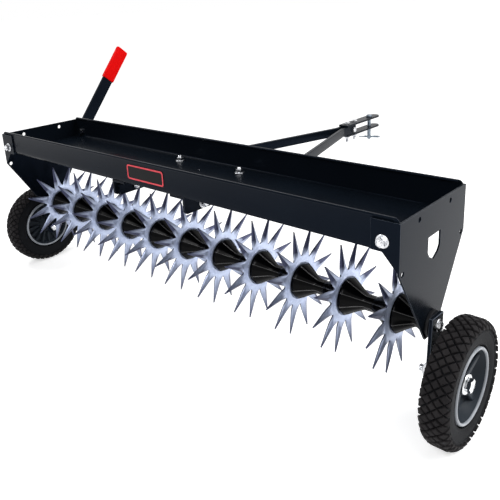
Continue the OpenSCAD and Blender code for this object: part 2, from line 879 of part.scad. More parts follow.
// Radial bars between hub and barrel: spokes outside the web, thin ribs inside it
module rim_bars(count, w, from, to) {
    reach = rim_d / 2 - rim_t / 2;
    start = (hub_bush_r + hub_d / 2) / 2;
    for (k = [0 : count - 1])
        rotate([0, 0, k * 360 / count]) translate([start, -w / 2, from]) cube([reach - start, w, to - from]);
}

// Moulded plastic wheel centre with four spokes outside and fine ribs inside
module rim(side) {
    color(rim_grey) placed() sided(side) translate([tyre_x, wheel_y, wheel_z]) rotate([0, 90, 0]) {
        rotate_extrude() rim_section();
        rim_bars(spoke_count, spoke_w, tyre_w / 2, tyre_w - hub_sink - spoke_inset / 2);
        rim_bars(rib_count, rib_w, rib_inset, tyre_w / 2);
    }
}

module left_rim() {
    rim(-1);
}

module right_rim() {
    rim(1);
}

// Plain bearing bush pressed into the hub
module hub_bush(side) {
    start = arm_out + slide_clear;
    color(zinc) placed() sided(side) translate([0, wheel_y, wheel_z]) difference() {
        bar_x(start, hub_out - start, hub_bush_r);
        bar_x(start - overrun, hub_out - start + 2 * overrun, wheel_bolt_d / 2 + run_clear);
    }
}

module left_hub_bush() {
    hub_bush(-1);
}

module right_hub_bush() {
    hub_bush(1);
}

weight_tray();
left_end_plate();
right_end_plate();
tray_bolts();
left_axle_bush();
right_axle_bush();
left_drawbar();
right_drawbar();
drawbar_brackets();
drawbar_floor_bolts();
drawbar_side_bolts();
upper_hitch_plate();
lower_hitch_plate();
hitch_bolts();
hitch_pin();
hitch_clip();
tine_axle();
axle_end_bolts();
left_wheel_arm();
right_wheel_arm();
transport_lever();
lever_grip();
lever_lock_pin();
for (i = [1 : star_count]) tine_star(i);
for (i = [1 : star_count - 1]) tine_spacer(i);
left_end_spacer();
right_end_spacer();
left_wheel_bolt();
right_wheel_bolt();
wheel_bolt_nuts();
left_tyre();
left_rim();
left_hub_bush();
right_tyre();
right_rim();
right_hub_bush();
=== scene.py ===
from math import atan, atan2, cos, pi, radians, sin, tan

import bmesh
import bpy
from mathutils import Matrix, Vector


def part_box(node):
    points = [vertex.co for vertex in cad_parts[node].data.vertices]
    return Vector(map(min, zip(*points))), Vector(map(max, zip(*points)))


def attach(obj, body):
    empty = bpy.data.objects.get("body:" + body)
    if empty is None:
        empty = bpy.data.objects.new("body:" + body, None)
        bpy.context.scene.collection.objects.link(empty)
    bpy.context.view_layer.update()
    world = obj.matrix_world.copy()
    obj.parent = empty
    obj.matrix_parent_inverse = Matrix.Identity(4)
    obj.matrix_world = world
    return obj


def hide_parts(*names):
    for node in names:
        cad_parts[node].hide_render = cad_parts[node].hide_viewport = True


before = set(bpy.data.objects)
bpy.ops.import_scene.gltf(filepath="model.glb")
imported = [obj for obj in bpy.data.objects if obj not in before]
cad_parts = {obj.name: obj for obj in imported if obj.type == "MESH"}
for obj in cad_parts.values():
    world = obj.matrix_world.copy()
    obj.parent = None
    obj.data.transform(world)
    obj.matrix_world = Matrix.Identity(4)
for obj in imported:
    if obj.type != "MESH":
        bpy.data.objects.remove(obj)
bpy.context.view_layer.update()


# Weight tray
# An open trough of 2 mm steel sheet: a floor and two hemmed walls.
# It is bent on a press, bolted between the end plates and powder coated satin black.

# Sizes are given in millimetres and drawn in metres
MM = 0.001


def linear(hex_colour):
    """Linear colour of an sRGB hex value."""
    parts = [int(hex_colour[i:i + 2], 16) / 255 for i in (1, 3, 5)]
    return [c / 12.92 if c <= 0.04045 else ((c + 0.055) / 1.055) ** 2.4 for c in parts] + [1.0]


def feed(material, node, links):
    """Link outputs of other nodes to a node's sockets."""
    for name, source in links.items():
        material.node_tree.links.new(source, node.inputs[name])


def add_node(material, kind, settings=None, inputs=None, links=None):
    """Add a shader node, set its settings and sockets, and link what feeds it."""
    node = material.node_tree.nodes.new(kind)
    for name, value in (settings or {}).items():
        setattr(node, name, value)
    for name, value in (inputs or {}).items():
        node.inputs[name].default_value = value
    feed(material, node, links or {})
    return node


def start_material(name, sockets):
    """A material with one surface shader, whose constant sockets are set here, and its coordinates."""
    material = bpy.data.materials.new(name)
    material.use_nodes = True
    material.node_tree.nodes.clear()
    shader = add_node(material, "ShaderNodeBsdfPrincipled", inputs=sockets)
    add_node(material, "ShaderNodeOutputMaterial", links={"Surface": shader.outputs["BSDF"]})
    return material, shader, add_node(material, "ShaderNodeTexCoord").outputs["Object"]


def powder_coat(name, dark, light):
    """Polyester powder coat baked on steel: satin black with a cool sheen, faintly pebbled and cloudy."""
    material, shader, place = start_material(name, {"IOR": 1.5, "Specular IOR Level": 0.06,
                                                    "Specular Tint": linear("#a6c2fb")})
    # Cloudy change of tone over about 150 mm, from handling and dust
    cloud = add_node(material, "ShaderNodeTexNoise", inputs={"Scale": 1 / (150 * MM), "Detail": 4},
                     links={"Vector": place})
    tone = add_node(material, "ShaderNodeMix", {"data_type": "RGBA"}, {6: linear(dark), 7: linear(light)},
                    {0: cloud.outputs["Fac"]})
    # The coat's orange peel is about 1.5 mm; drawn at 4 mm so that it shows
    peel = add_node(material, "ShaderNodeTexNoise", inputs={"Scale": 1 / (4 * MM), "Detail": 2},
                    links={"Vector": place})
    sheen = add_node(material, "ShaderNodeMapRange", inputs={"To Min": 0.19, "To Max": 0.29},
                     links={"Value": peel.outputs["Fac"]})
    bump = add_node(material, "ShaderNodeBump", inputs={"Strength": 0.05, "Distance": 0.4 * MM},
                    links={"Height": peel.outputs["Fac"]})
    feed(material, shader, {"Base Color": tone.outputs[2], "Roughness": sheen.outputs["Result"],
                            "Normal": bump.outputs["Normal"]})
    return material


def add_piece(name, mesh, material, body, slot, *nodes):
    """Show a mesh as a piece of the object, with its finish, on its body, in place of CAD nodes."""
    piece = bpy.data.objects.new(name, mesh)
    bpy.context.scene.collection.objects.link(piece)
    mesh.materials.append(material)
    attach(piece, body)
    if nodes:
        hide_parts(*nodes)
    return piece


def soften(node, body, material, slot, radius_mm, edge=None, bends=()):
    """A copy of a CAD node with whole flat faces, its long bends, and rounded edges that may take a material
    of their own, which here is a painted highlight.

    A bend is given, in millimetres, as its lines' height over the node's lowest point and its radius.
    """
    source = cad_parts[node].data
    work = bmesh.new()
    work.from_mesh(source)
    bmesh.ops.remove_doubles(work, verts=work.verts, dist=WELD * MM)
    bmesh.ops.dissolve_limit(work, angle_limit=radians(FLAT_DEG), verts=work.verts, edges=work.edges)
    lowest = min(v.co.z for v in work.verts)
    for height, bend_r in bends:
        lines = [e for e in work.edges if e.calc_length() > LONG_BEND * MM
                 and all(abs(v.co.z - lowest - height * MM) < NEAR * MM for v in e.verts)]
        bmesh.ops.bevel(work, geom=lines, offset=bend_r * MM, segments=BEND_STEPS, profile=0.5,
                        affect="EDGES")
    points = [v.co.copy() for v in work.verts]
    work.verts.index_update()
    faces = [[v.index for v in f.verts] for f in work.faces]
    work.free()
    mesh = bpy.data.meshes.new(node + "_sheet")
    mesh.from_pydata(points, [], faces)
    mesh.shade_smooth()
    piece = add_piece(node + "_finished", mesh, material, body, slot, node)
    bevel = piece.modifiers.new("rounded_edges", "BEVEL")
    bevel.width = radius_mm * MM
    bevel.segments = 2
    bevel.limit_method = "ANGLE"
    bevel.angle_limit = radians(CORNER_DEG)
    bevel.harden_normals = True
    if edge:
        mesh.materials.append(edge)
        bevel.material = 1
    return piece


TRAY_T, INNER_BEND_R, LONG_BEND, BEND_STEPS, SHEET_EDGE_R = 2, 6, 900, 6, 0.7
# Points within WELD are one and heights within NEAR are level, in millimetres
# Faces within FLAT_DEG of flat are one, and edges sharper than CORNER_DEG are rounded
WELD, NEAR, FLAT_DEG, CORNER_DEG = 0.02, 0.1, 0.5, 40
black_coat = powder_coat("black_powder_coat", "#080b10", "#0e141b")
# Edges are drawn much paler than the faces: a painted highlight along every rounded edge
edge_highlight_coat = powder_coat("powder_coat_painted_edge_highlight", "#3a4048", "#656c76")
soften("weight_tray", "frame", black_coat, "black_powder_coat", SHEET_EDGE_R, edge_highlight_coat,
       [(0, INNER_BEND_R + TRAY_T), (TRAY_T, INNER_BEND_R)])


# End plates
# Six sided plates of 3 mm steel with two flanges bent in to take the tray bolts.
# They are cut by laser, bent and powder coated like the tray.
PLATE_T = 3
for end_plate in ("left_end_plate", "right_end_plate"):
    soften(end_plate, "frame", black_coat, "black_powder_coat", SHEET_EDGE_R, edge_highlight_coat)


# Label panel
# A thin label on the tray's rear wall, black with a red rim.
# It is printed vinyl film, cut out with round corners and stuck on.
LABEL_W, LABEL_H, LABEL_T, LABEL_R, LABEL_CHAMFER = 106, 30, 0.8, 5, 0.6
LABEL_X, LABEL_DROP = 5.4, 18.8
BORDER, BORDER_IN, BORDER_UP, BORDER_FOOT = 3.4, 1, 0.35, 0.2


def box_mm(node):
    """Lowest and highest corner of a CAD node, in millimetres."""
    return [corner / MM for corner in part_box(node)]


def set_at(place, degrees, axis):
    """Matrix that turns a part about one of its axes and moves it to its place."""
    return Matrix.Translation(place) @ Matrix.Rotation(radians(degrees), 4, axis)


def skin(rings, loop=False, caps=True):
    """Points and faces of a surface through equal closed rings; loop joins the last ring to the first."""
    count = len(rings[0])
    points = [p for ring in rings for p in ring]
    faces = []
    for r in range(len(rings) if loop else len(rings) - 1):
        low, high = r * count, (r + 1) % len(rings) * count
        faces += [(low + k, low + (k + 1) % count, high + (k + 1) % count, high + k) for k in range(count)]
    if caps and not loop:
        faces += [tuple(reversed(range(count))), tuple(range(len(points) - count, len(points)))]
    return points, faces


def make_mesh(name, parts, sharp_deg=35, weld_mm=0.0):
    """One mesh, in metres, from parts drawn in millimetres; each part is points, faces and its matrix."""
    work = bmesh.new()
    for points, faces, matrix in parts:
        verts = [work.verts.new((matrix @ Vector(p)) * MM) for p in points]
        for face in faces:
            work.faces.new([verts[i] for i in face])
    if weld_mm:
        bmesh.ops.remove_doubles(work, verts=work.verts, dist=weld_mm * MM)
    bmesh.ops.recalc_face_normals(work, faces=work.faces)
    mesh = bpy.data.meshes.new(name)
    work.to_mesh(mesh)
    work.free()
    mesh.shade_smooth()
    mesh.set_sharp_from_angle(angle=radians(sharp_deg))
    return mesh


def round_rect(w, h, r, steps=6):
    """Outline of a rectangle with round corners, about the origin."""
    outline = []
    for quarter, (sx, sy) in enumerate(((1, 1), (-1, 1), (-1, -1), (1, -1))):
        for k in range(steps + 1):
            a = pi / 2 * (quarter + k / steps)
            outline.append((sx * (w / 2 - r) + r * cos(a), sy * (h / 2 - r) + r * sin(a)))
    return outline


def printed_vinyl(name, colour):
    """Printed vinyl film: even colour under a clear face, with faint 12 mm waves from the sheet below."""
    material, shader, place = start_material(name, {"Base Color": linear(colour), "Roughness": 0.4,
                                                    "IOR": 1.45, "Specular IOR Level": 0.12})
    wave = add_node(material, "ShaderNodeTexNoise", inputs={"Scale": 1 / (12 * MM)}, links={"Vector": place})
    bump = add_node(material, "ShaderNodeBump", inputs={"Strength": 0.05, "Distance": 0.5 * MM},
                    links={"Height": wave.outputs["Fac"]})
    feed(material, shader, {"Normal": bump.outputs["Normal"]})
    return material


plate_low, plate_high = box_mm("right_end_plate")
on_wall = set_at((LABEL_X, plate_low.y + PLATE_T, plate_high.z - LABEL_DROP), 90, "X")
face_rings = [[(x, y, z) for x, y in round_rect(LABEL_W - g, LABEL_H - g, LABEL_R - g / 2)]
              for z, g in ((0, 0), (0.7 * LABEL_T, 0), (LABEL_T, LABEL_CHAMFER))]
rim_out = round_rect(LABEL_W - BORDER_IN, LABEL_H - BORDER_IN, LABEL_R)
rim_in = round_rect(LABEL_W - 2 * BORDER, LABEL_H - 2 * BORDER, LABEL_R - BORDER / 2)
rim_low, rim_top = BORDER_FOOT, LABEL_T + BORDER_UP
rim_rings = [[(x, y, z) for x, y in line]
             for line, z in ((rim_out, rim_low), (rim_out, rim_top), (rim_in, rim_top), (rim_in, rim_low))]
add_piece("label_face", make_mesh("label_face", [(*skin(face_rings), on_wall)]),
          printed_vinyl("printed_vinyl_black", "#050507"), "frame", "gloss_black_plastic")
add_piece("label_rim", make_mesh("label_rim", [(*skin(rim_rings, loop=True), on_wall)]),
          printed_vinyl("printed_vinyl_red", "#e0505a"), "frame", "red_vinyl")


# Tray bolts
# M8 bolts with washers and nuts through the flanges and the tray's walls, heads inside.
# They are rolled and forged steel with bright zinc plate.
BOLT_D = 8
# Sizes of a bolt's parts, as shares of its diameter
HEAD, FLATS, NUT, WASHER_D, WASHER_T, THREAD_OUT = 0.65, 1.625, 0.8, 2.5, 0.22, 0.5
CHAMFER_DEG, CHAMFER_SHARE, CHAMFER_GAP, WASHER_EDGE = 30, 0.97, 0.1, 0.4
# How far a shank runs into its head, and a thread into its nut
SHANK_IN, THREAD_IN = 0.2, 1


def turned(profile, segments=40):
    """Rings of a profile of radius and height points, turned about Z."""
    turn = [2 * pi * k / segments for k in range(segments)]
    return [[(r * cos(a), r * sin(a), z) for a in turn] for r, z in profile]


def hexagon(flats, low, high, segments=48):
    """Rings of a hexagon head or nut along Z, with the curved chamfer cut on its corners."""
    flat = flats / 2 * CHAMFER_SHARE
    rings = [[], [], [], []]
    for k in range(segments):
        a = 2 * pi * k / segments
        corner = flats / 2 / cos((a + pi / 6) % (pi / 3) - pi / 6)
        cut = (corner - flats / 2) * tan(radians(CHAMFER_DEG)) + CHAMFER_GAP
        for ring, r, z in zip(rings, (flat, corner, corner, flat), (low, low + cut, high - cut, high)):
            ring.append((r * cos(a), r * sin(a), z))
    return rings


def threaded(d, low, high, pitch=1.25, depth=0.5):
    """Profile of a threaded end from low to high, with a chamfered tip."""
    profile = [(d / 2, low)]
    z = low + pitch / 2
    while z + pitch < high - depth:
        profile += [(d / 2 - depth, z), (d / 2, z + pitch / 2)]
        z += pitch
    return profile + [(d / 2, high - 2 * depth), (d / 2 - 2 * depth, high)]


def washer(d, bore, low, thick):
    """Rings of a stamped washer along Z with rolled edges."""
    r, high, edge = d / 2, low + thick, min(WASHER_EDGE, thick / 3)
    return turned([(bore / 2, low), (r - edge, low), (r, low + edge), (r, high - edge), (r - edge, high),
                   (bore / 2, high)])


def bolt_set(d, grip, thread_out=THREAD_OUT * BOLT_D):
    """Parts of a bolt up Z from its head's seat, with a washer and a nut past what it grips."""
    thick, nut = WASHER_T * d, NUT * d
    seat = grip + thick
    return [
        skin(hexagon(FLATS * d, -HEAD * d, 0)),
        skin(turned([(d / 2, -SHANK_IN), (d / 2, seat)]
                    + threaded(d, seat + nut - THREAD_IN, seat + nut + thread_out))),
        skin(washer(WASHER_D * d, d, grip, thick), loop=True),
        skin(hexagon(FLATS * d, seat, seat + nut)),
    ]


def draw_node(node, parts, material, body, slot, sharp_deg=35):
    """The piece that shows one CAD node, drawn from parts."""
    return add_piece(node + "_finished", make_mesh(node, parts, sharp_deg), material, body, slot, node)


def zinc_plate(name, stained, bright, roughness):
    """Zinc or nickel plate on steel: pale metal with faint cloudy stains, about 6 mm, from the bath."""
    material, shader, place = start_material(name, {"Metallic": 1.0})
    stain = add_node(material, "ShaderNodeTexNoise", inputs={"Scale": 1 / (6 * MM), "Detail": 3},
                     links={"Vector": place})
    share = add_node(material, "ShaderNodeMapRange", inputs={"From Min": 0.3, "From Max": 0.6},
                     links={"Value": stain.outputs["Fac"]})
    tone = add_node(material, "ShaderNodeMix", {"data_type": "RGBA"},
                    {6: linear(stained), 7: linear(bright)}, {0: share.outputs["Result"]})
    gloss = add_node(material, "ShaderNodeMapRange",
                     inputs={"To Min": roughness - GLOSS_SPREAD, "To Max": roughness + GLOSS_SPREAD},
                     links={"Value": stain.outputs["Fac"]})
    feed(material, shader, {"Base Color": tone.outputs[2], "Roughness": gloss.outputs["Result"]})
    return material


GLOSS_SPREAD = 0.08
zinc = zinc_plate("bright_zinc_plate", "#a9abaf", "#dcdde0", 0.26)
bolts_low, bolts_high = box_mm("tray_bolts")
washer_r = WASHER_D * BOLT_D / 2
tray_bolt_x = bolts_high.x - washer_r
tray_bolt_z = (bolts_low.z + bolts_high.z) / 2
wall_grip = PLATE_T + TRAY_T
parts = []
for side in (-1, 1):
    for seat_y, tilt in ((plate_low.y + wall_grip, 90), (plate_high.y - wall_grip, -90)):
        inward = set_at((side * tray_bolt_x, seat_y, tray_bolt_z), tilt, "X")
        parts += [(*part, inward) for part in bolt_set(BOLT_D, wall_grip)]
draw_node("tray_bolts", parts, zinc, "frame", "zinc_plated_steel")


# Axle bushes
# Flanged bushes that carry the axle in the end plates.
# They are turned from steel, blacked in hot salts, oiled and pressed in.
BUSH_EDGE_R, WAVE_LENGTH = 0.5, 2 * pi / 20


def black_oxide(name):
    """Oiled black oxide on turned steel: near black, with fine turning lines that catch light."""
    material, shader, place = start_material(name, {"Base Color": linear("#101114"), "Metallic": 0.35,
                                                    "Specular IOR Level": 0.4})
    # Turning lines are about 0.2 mm apart; drawn at 1.5 mm so that they show
    lines = add_node(material, "ShaderNodeTexWave", {"bands_direction": "X"},
                     {"Scale": WAVE_LENGTH / (1.5 * MM), "Distortion": 1.0}, {"Vector": place})
    gloss = add_node(material, "ShaderNodeMapRange", inputs={"To Min": 0.35, "To Max": 0.55},
                     links={"Value": lines.outputs["Fac"]})
    feed(material, shader, {"Roughness": gloss.outputs["Result"]})
    return material


oxide = black_oxide("black_oxide_steel")
for bush in ("left_axle_bush", "right_axle_bush"):
    soften(bush, "frame", oxide, "black_oxide_steel", BUSH_EDGE_R)


# Drawbar bars and brackets
# Two flat steel bars on edge, each bent twice to run straight under the tray and straight at the hitch.
# Angle brackets join them to the tray's floor. All are cut from bar, bent, and powder coated.
BAR_W, BAR_H, BAR_EDGE, BAR_END, FLAT_EDGE_R = 9, 22, 1.2, 0.8, 0.8
REAR_BEND, FRONT_BEND, BEND_R = 357, 672, 30
bar_low, bar_high = box_mm("right_drawbar")
bar_rear_x, bar_front_x = bar_high.x - BAR_W / 2, bar_low.x + BAR_W / 2
bar_mid_z = (bar_low.z + bar_high.z) / 2
bar_bend = atan((bar_rear_x - bar_front_x) / (FRONT_BEND - REAR_BEND))

# Middle line of the right hand bar: place in plan, heading left of straight ahead, inset of the section
bar_line = [(bar_rear_x, bar_low.y, 0, BAR_END), (bar_rear_x, bar_low.y + BAR_END, 0, 0)]
for corner_x, corner_y, way in ((bar_rear_x, REAR_BEND, 1), (bar_front_x, FRONT_BEND, -1)):
    for k in range(BEND_STEPS + 1):
        heading = bar_bend * (k if way > 0 else BEND_STEPS - k) / BEND_STEPS
        x = corner_x - way * BEND_R * (1 - cos(heading))
        y = plate_low.y + corner_y + way * BEND_R * (sin(heading) - tan(bar_bend / 2))
        bar_line.append((x, y, heading, 0))
bar_line += [(bar_front_x, bar_high.y - BAR_END, 0, 0), (bar_front_x, bar_high.y, 0, BAR_END)]
bar_rings = [[(x + u * cos(heading), y + u * sin(heading), bar_mid_z + v)
              for u, v in round_rect(BAR_W - 2 * inset, BAR_H - 2 * inset, BAR_EDGE)]
             for x, y, heading, inset in bar_line]
for name, side in (("left_drawbar", -1), ("right_drawbar", 1)):
    mirrored = Matrix.Diagonal((side, 1, 1, 1))
    draw_node(name, [(*skin(bar_rings), mirrored)], black_coat, "frame", "black_powder_coat")
soften("drawbar_brackets", "frame", black_coat, "black_powder_coat", FLAT_EDGE_R, edge_highlight_coat)


# Drawbar bolts
# M8 bolts: two up through each bracket and the tray's floor, two across each bar and its bracket.
# They are the same zinc plated steel as the tray's, with a washer and nut each.
BRACKET_T = 4
bolt_reach = (WASHER_T + NUT + THREAD_OUT) * BOLT_D
floor_low, floor_high = box_mm("drawbar_floor_bolts")
side_low, side_high = box_mm("drawbar_side_bolts")
floor_parts, side_parts = [], []
for side in (-1, 1):
    for y in (floor_low.y + washer_r, floor_high.y - washer_r):
        up = Matrix.Translation((side * (floor_high.x - washer_r), y, floor_low.z + HEAD * BOLT_D))
        floor_parts += [(*part, up) for part in bolt_set(BOLT_D, BRACKET_T + TRAY_T)]
    for y in (side_low.y + washer_r, side_high.y - washer_r):
        head_x = side_high.x - bolt_reach - BAR_W - BRACKET_T
        across = set_at((side * head_x, y, bar_mid_z), 90 * side, "Y")
        side_parts += [(*part, across) for part in bolt_set(BOLT_D, BAR_W + BRACKET_T)]
draw_node("drawbar_floor_bolts", floor_parts, zinc, "frame", "zinc_plated_steel")
draw_node("drawbar_side_bolts", side_parts, zinc, "frame", "zinc_plated_steel")


# Hitch plates, bolts, pin and clip
# Two flat 5 mm steel plates, bolted over and under the bars' front ends, whose round tongues make a clevis.
# A headed pin drops through both tongues and a spring wire clip keeps it in.
for plate in ("upper_hitch_plate", "lower_hitch_plate"):
    soften(plate, "frame", black_coat, "black_powder_coat", FLAT_EDGE_R, edge_highlight_coat)
HITCH_T, HITCH_THREAD_OUT, CROSS_BOLT_AHEAD = 5, 10, 12
hitch_low, hitch_high = box_mm("hitch_bolts")
rear_bolt_y, front_bolt_y = hitch_low.y + washer_r, hitch_high.y - washer_r
hitch_parts = []
for y in (rear_bolt_y, front_bolt_y):
    down = set_at((0, y, hitch_high.z - HEAD * BOLT_D), 180, "X")
    hitch_parts += [(*part, down) for part in bolt_set(BOLT_D, BAR_H + 2 * HITCH_T, HITCH_THREAD_OUT)]
across = set_at((hitch_high.x - HEAD * BOLT_D, rear_bolt_y + CROSS_BOLT_AHEAD, bar_mid_z), -90, "Y")
hitch_parts += [(*part, across) for part in bolt_set(BOLT_D, 2 * bar_front_x + BAR_W)]
draw_node("hitch_bolts", hitch_parts, zinc, "frame", "zinc_plated_steel")

pin_low, pin_high = box_mm("hitch_pin")
PIN_D, PIN_HEAD_D, PIN_HEAD_H, PIN_TIP, PIN_EDGE, PIN_CROWN = 10, 17, 6, 2, 0.6, 3
# The pin and its clip are drawn in a darker, duller zinc
dull_zinc = zinc_plate("dull_zinc_plate", "#4d5762", "#7f8993", 0.35)
pin_r, pin_head_r, pin_seat = PIN_D / 2, PIN_HEAD_D / 2, pin_high.z - PIN_HEAD_H
pin_profile = [(pin_r - PIN_TIP, pin_low.z), (pin_r, pin_low.z + 1.1 * PIN_TIP), (pin_r, pin_seat),
               (pin_head_r - PIN_EDGE, pin_seat), (pin_head_r, pin_seat + PIN_EDGE),
               (pin_head_r, pin_seat + 6 * PIN_EDGE),
               (pin_head_r - PIN_CROWN / 3, pin_high.z - PIN_CROWN / 3),
               (pin_head_r - PIN_CROWN, pin_high.z)]
at_pin = Matrix.Translation(((pin_low.x + pin_high.x) / 2, (pin_low.y + pin_high.y) / 2, 0))
pin_parts = [(*skin(turned(pin_profile)), at_pin)]
draw_node("hitch_pin", pin_parts, dull_zinc, "pin_and_clip", "zinc_plated_steel")


def tube_along(path, radius, segments=12):
    """Rings of a round wire that follows a path of points."""
    turn = [2 * pi * k / segments for k in range(segments)]
    rings = []
    for i, point in enumerate(path):
        ahead, behind = path[min(i + 1, len(path) - 1)], path[max(i - 1, 0)]
        along = (Vector(ahead) - Vector(behind)).normalized()
        side_way = along.cross(Vector((0, 0, 1))).normalized()
        up_way = side_way.cross(along)
        rings.append([Vector(point) + radius * (cos(a) * side_way + sin(a) * up_way) for a in turn])
    return rings


CLIP_WIRE, CLIP_LEN, CLIP_EYE, CLIP_TURN, CLIP_UP, CLIP_PLAY = 3, 58, 6, 20, 6, 0.3
EYE_STEPS, DIP_STEPS, DIP_START, DIP_RUN = 12, 8, 7, 9
eye_x, hug = CLIP_LEN / 2 - CLIP_EYE, PIN_D / 2 + CLIP_WIRE / 2 + CLIP_PLAY
# One leg runs straight through the pin; past the eye, the other dips to hug the pin's side and flares out
clip_path = [(-CLIP_LEN / 2, 0, 0), (-CLIP_LEN / 4, 0, 0), (0, 0, 0), (eye_x, 0, 0)]
for k in range(1, EYE_STEPS):
    a = pi * k / EYE_STEPS
    clip_path.append((eye_x + CLIP_EYE * sin(a), CLIP_EYE - CLIP_EYE * cos(a), 0))
clip_path += [(eye_x, 2 * CLIP_EYE, 0), (hug + DIP_START, 2 * CLIP_EYE, 0)]
for k in range(1, DIP_STEPS + 1):
    dip = (2 * CLIP_EYE - hug) * (0.5 - 0.5 * cos(pi * k / DIP_STEPS))
    clip_path.append((hug + DIP_START - DIP_RUN * k / DIP_STEPS, 2 * CLIP_EYE - dip, 0))
clip_path += [(-4, hug, 0), (-9, hug + 1.2, 0), (-CLIP_LEN / 4, hug + 3.5, 0)]
at_clip = at_pin @ set_at((0, 0, pin_low.z + CLIP_UP), CLIP_TURN, "Z")
clip_parts = [(*skin(tube_along(clip_path, CLIP_WIRE / 2)), at_clip)]
draw_node("hitch_clip", clip_parts, dull_zinc, "pin_and_clip", "zinc_plated_steel")


# Axle, wheel arms and axle end bolts
# A 20 mm drawn steel axle with squared ends; a flat arm is keyed on each end and held by a bolt and washer.
# The axle is zinc plated, the arms are powder coated.
AXLE_EDGE_R, END_BOLT_IN, END_BOLT_PLAY = 0.4, 20, 0.1
soften("tine_axle", "transport", zinc, "zinc_plated_steel", AXLE_EDGE_R)
for arm in ("left_wheel_arm", "right_wheel_arm"):
    soften(arm, "transport", black_coat, "black_powder_coat", FLAT_EDGE_R, edge_highlight_coat)
axle_low, axle_high = box_mm("tine_axle")
axle_y, axle_z = (axle_low.y + axle_high.y) / 2, (axle_low.z + axle_high.z) / 2
end_bolt_r = BOLT_D / 2 - END_BOLT_PLAY
end_parts = []
for side, seat_x in ((1, axle_high.x), (-1, -axle_low.x)):
    out = set_at((side * seat_x, axle_y, axle_z), 90 * side, "Y")
    thick = WASHER_T * BOLT_D
    end_parts += [(*skin(washer(WASHER_D * BOLT_D, BOLT_D, 0, thick), loop=True), out),
                  (*skin(hexagon(FLATS * BOLT_D, thick, thick + HEAD * BOLT_D)), out),
                  (*skin(turned([(end_bolt_r, -END_BOLT_IN), (end_bolt_r, thick + THREAD_IN)])), out)]
draw_node("axle_end_bolts", end_parts, zinc, "transport", "zinc_plated_steel")


# Transport lever, grip and lock pin
# A flat steel bar keyed on the axle's left end, with a red vinyl grip dipped over its tip.
# A knobbed steel pin slides through the bar into the end plate's lock hole.
soften("transport_lever", "transport", black_coat, "black_powder_coat", SHEET_EDGE_R)
LEVER_LEN, LEVER_W, LEVER_T = 462, 32, 6
GRIP_LEN, GRIP_WALL, GRIP_CORNER, GRIP_FLAT = 98, 3, 3.8, 0.3
lock_low, lock_high = box_mm("lever_lock_pin")
lock_y, lock_z = (lock_low.y + lock_high.y) / 2, (lock_low.z + lock_high.z) / 2
lever_lean = atan2(lock_y - axle_y, lock_z - axle_z)
lever_x = sum(corner.x for corner in box_mm("transport_lever")) / 2
on_lever = Matrix.Translation((lever_x, axle_y, axle_z)) @ Matrix.Rotation(-lever_lean, 4, "X")


def moulded_plastic(name, colour, roughness, grain_mm, bump, gloss_level=0.5):
    """Moulded plastic: even colour with a fine grain from the tool, which breaks its gloss."""
    material, shader, place = start_material(name, {"Base Color": linear(colour), "IOR": 1.5,
                                                    "Specular IOR Level": gloss_level})
    # The tool's grain is under 1 mm; drawn coarser so that it shows
    grain = add_node(material, "ShaderNodeTexNoise", inputs={"Scale": 1 / (grain_mm * MM), "Detail": 2},
                     links={"Vector": place})
    spread = roughness * GRAIN_SPREAD
    gloss = add_node(material, "ShaderNodeMapRange",
                     inputs={"To Min": roughness - spread, "To Max": roughness + spread},
                     links={"Value": grain.outputs["Fac"]})
    relief = add_node(material, "ShaderNodeBump", inputs={"Strength": bump, "Distance": 0.3 * MM},
                      links={"Height": grain.outputs["Fac"]})
    feed(material, shader, {"Roughness": gloss.outputs["Result"], "Normal": relief.outputs["Normal"]})
    return material


GRAIN_SPREAD = 0.15
grip_w, grip_t, grip_start = LEVER_W + 2 * GRIP_WALL, LEVER_T + 2 * GRIP_WALL, LEVER_LEN - GRIP_LEN
# Places along the grip, and how far its section is drawn in there
grip_stations = [(0, 2.6), (0.4, 1.2), (1.6, 0.3), (4, 0), (GRIP_LEN / 2, 0.3), (GRIP_LEN - 5, 0),
                 (GRIP_LEN - 2, 0.8), (GRIP_LEN - 0.6, 2.2), (GRIP_LEN, 4.4)]
grip_rings = []
for z, shrink in grip_stations:
    corner_r = min(GRIP_CORNER, grip_t / 2 - shrink / 2 - GRIP_FLAT)
    outline = round_rect(grip_t - shrink, grip_w - shrink, corner_r)
    grip_rings.append([(x, y, grip_start + z) for x, y in outline])
red_vinyl = moulded_plastic("dipped_vinyl_red", "#de0303", 0.45, 3.0, 0.08, 0.05)
grip_parts = [(*skin(grip_rings), on_lever)]
draw_node("lever_grip", grip_parts, red_vinyl, "transport", "red_vinyl", sharp_deg=50)

LOCK_D, LOCK_TIP, KNOB_D, KNOB_H = 8, 1, 20, 12
lock_len = lock_high.x - lock_low.x
lock_r, knob_r, knob_foot = LOCK_D / 2, KNOB_D / 2, lock_len - KNOB_H
lock_profile = [(lock_r - 0.8 * LOCK_TIP, 0), (lock_r, LOCK_TIP), (lock_r, knob_foot),
                (knob_r - 3, knob_foot), (knob_r - 1, knob_foot + 1), (knob_r, knob_foot + 3.5),
                (knob_r, lock_len - 4), (knob_r - 1.2, lock_len - 1.4), (knob_r - 4, lock_len)]
at_lock = set_at((lock_high.x, lock_y, lock_z), -90, "Y")
lock_parts = [(*skin(turned(lock_profile)), at_lock)]
draw_node("lever_lock_pin", lock_parts, zinc, "lever_lock", "zinc_plated_steel")


# Tine stars
# Stamped from 2.6 mm sheet: a middle with a bead round the spacer's seat, and twelve folded spikes.
# They are hot dip galvanised after stamping, which leaves a pale, faintly blue and spangled skin.
STARS, TINES, STAR_T, STAR_TURN, STAR_PITCH, STAR_WELD = 11, 12, 2.6, 20.5, 96, 0.05
# TAPER is a spike's half width for each millimetre from its tip
BORE_R, VALLEY_R, FLANK_R, TIP_R, TAPER = 10.1, 44.5, 46.8, 98.2, 0.19
